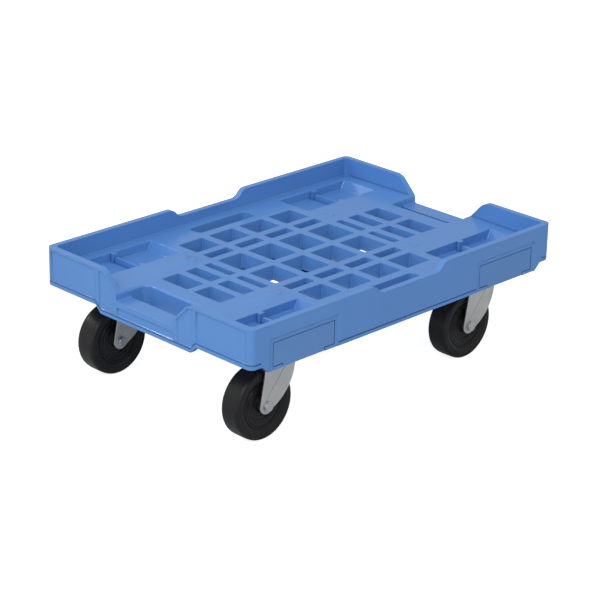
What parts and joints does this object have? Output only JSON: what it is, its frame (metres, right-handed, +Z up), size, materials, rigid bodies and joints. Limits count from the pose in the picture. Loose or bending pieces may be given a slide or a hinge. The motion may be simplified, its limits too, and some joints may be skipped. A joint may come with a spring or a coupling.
{
  "type": "platform trolley",
  "caption": "Low moulded plastic platform trolley with a raised rim, an open grid deck, carrying handles and swivel casters.",
  "frame": {"origin": "on the floor under the centre of the deck", "axes": "+X along the long side of the deck, +Y along the short side, +Z up; the casters trail towards -X"},
  "size_m": [0.59, 0.404, 0.1855],
  "materials": {
    "blue_plastic": "fine moulded satin",
    "label_plastic": "moulded, slightly greyer than the deck",
    "zinc_steel": "bright zinc plated",
    "bolt_steel": "zinc plated, slightly darker",
    "black_plastic": "moulded black",
    "black_rubber": "smooth matte rubber"
  },
  "bodies": {
    "trolley": {"deck": "blue_plastic", "label_plate_front_left": "label_plastic", "label_plate_front_right": "label_plastic", "label_plate_rear_left": "label_plastic", "label_plate_rear_right": "label_plastic", "mount_plate_front_left": "zinc_steel", "kingpin_front_left": "bolt_steel", "mount_screw_front_left_1": "bolt_steel", "mount_screw_front_left_2": "bolt_steel", "mount_screw_front_left_3": "bolt_steel", "mount_screw_front_left_4": "bolt_steel", "mount_plate_front_right": "zinc_steel", "kingpin_front_right": "bolt_steel", "mount_screw_front_right_1": "bolt_steel", "mount_screw_front_right_2": "bolt_steel", "mount_screw_front_right_3": "bolt_steel", "mount_screw_front_right_4": "bolt_steel", "mount_plate_rear_left": "zinc_steel", "kingpin_rear_left": "bolt_steel", "mount_screw_rear_left_1": "bolt_steel", "mount_screw_rear_left_2": "bolt_steel", "mount_screw_rear_left_3": "bolt_steel", "mount_screw_rear_left_4": "bolt_steel", "mount_plate_rear_right": "zinc_steel", "kingpin_rear_right": "bolt_steel", "mount_screw_rear_right_1": "bolt_steel", "mount_screw_rear_right_2": "bolt_steel", "mount_screw_rear_right_3": "bolt_steel", "mount_screw_rear_right_4": "bolt_steel"},
    "swivel_front_left": {"fork_front_left": "zinc_steel", "ball_ring_front_left": "bolt_steel", "axle_bolt_front_left": "bolt_steel", "axle_nut_front_left": "bolt_steel", "axle_sleeve_front_left": "bolt_steel"},
    "wheel_front_left": {"wheel_centre_front_left": "black_plastic", "tyre_front_left": "black_rubber"},
    "swivel_front_right": {"fork_front_right": "zinc_steel", "ball_ring_front_right": "bolt_steel", "axle_bolt_front_right": "bolt_steel", "axle_nut_front_right": "bolt_steel", "axle_sleeve_front_right": "bolt_steel"},
    "wheel_front_right": {"wheel_centre_front_right": "black_plastic", "tyre_front_right": "black_rubber"},
    "swivel_rear_left": {"fork_rear_left": "zinc_steel", "ball_ring_rear_left": "bolt_steel", "axle_bolt_rear_left": "bolt_steel", "axle_nut_rear_left": "bolt_steel", "axle_sleeve_rear_left": "bolt_steel"},
    "wheel_rear_left": {"wheel_centre_rear_left": "black_plastic", "tyre_rear_left": "black_rubber"},
    "swivel_rear_right": {"fork_rear_right": "zinc_steel", "ball_ring_rear_right": "bolt_steel", "axle_bolt_rear_right": "bolt_steel", "axle_nut_rear_right": "bolt_steel", "axle_sleeve_rear_right": "bolt_steel"},
    "wheel_rear_right": {"wheel_centre_rear_right": "black_plastic", "tyre_rear_right": "black_rubber"}
  },
  "joints": [
    {"name": "swivel_turn_front_left", "type": "hinge", "parent": "trolley", "child": "swivel_front_left", "pos_m": [-0.2, -0.1444, 0.127], "axis": [0, 0, 1], "continuous": true},
    {"name": "swivel_turn_front_right", "type": "hinge", "parent": "trolley", "child": "swivel_front_right", "pos_m": [0.2, -0.1444, 0.127], "axis": [0, 0, 1], "continuous": true},
    {"name": "swivel_turn_rear_left", "type": "hinge", "parent": "trolley", "child": "swivel_rear_left", "pos_m": [-0.2, 0.1444, 0.127], "axis": [0, 0, 1], "continuous": true},
    {"name": "swivel_turn_rear_right", "type": "hinge", "parent": "trolley", "child": "swivel_rear_right", "pos_m": [0.2, 0.1444, 0.127], "axis": [0, 0, 1], "continuous": true},
    {"name": "wheel_spin_front_left", "type": "hinge", "parent": "swivel_front_left", "child": "wheel_front_left", "pos_m": [-0.2285, -0.1444, 0.05], "axis": [0, 1, 0], "continuous": true},
    {"name": "wheel_spin_front_right", "type": "hinge", "parent": "swivel_front_right", "child": "wheel_front_right", "pos_m": [0.1715, -0.1444, 0.05], "axis": [0, 1, 0], "continuous": true},
    {"name": "wheel_spin_rear_left", "type": "hinge", "parent": "swivel_rear_left", "child": "wheel_rear_left", "pos_m": [-0.2285, 0.1444, 0.05], "axis": [0, 1, 0], "continuous": true},
    {"name": "wheel_spin_rear_right", "type": "hinge", "parent": "swivel_rear_right", "child": "wheel_rear_right", "pos_m": [0.1715, 0.1444, 0.05], "axis": [0, 1, 0], "continuous": true}
  ]
}
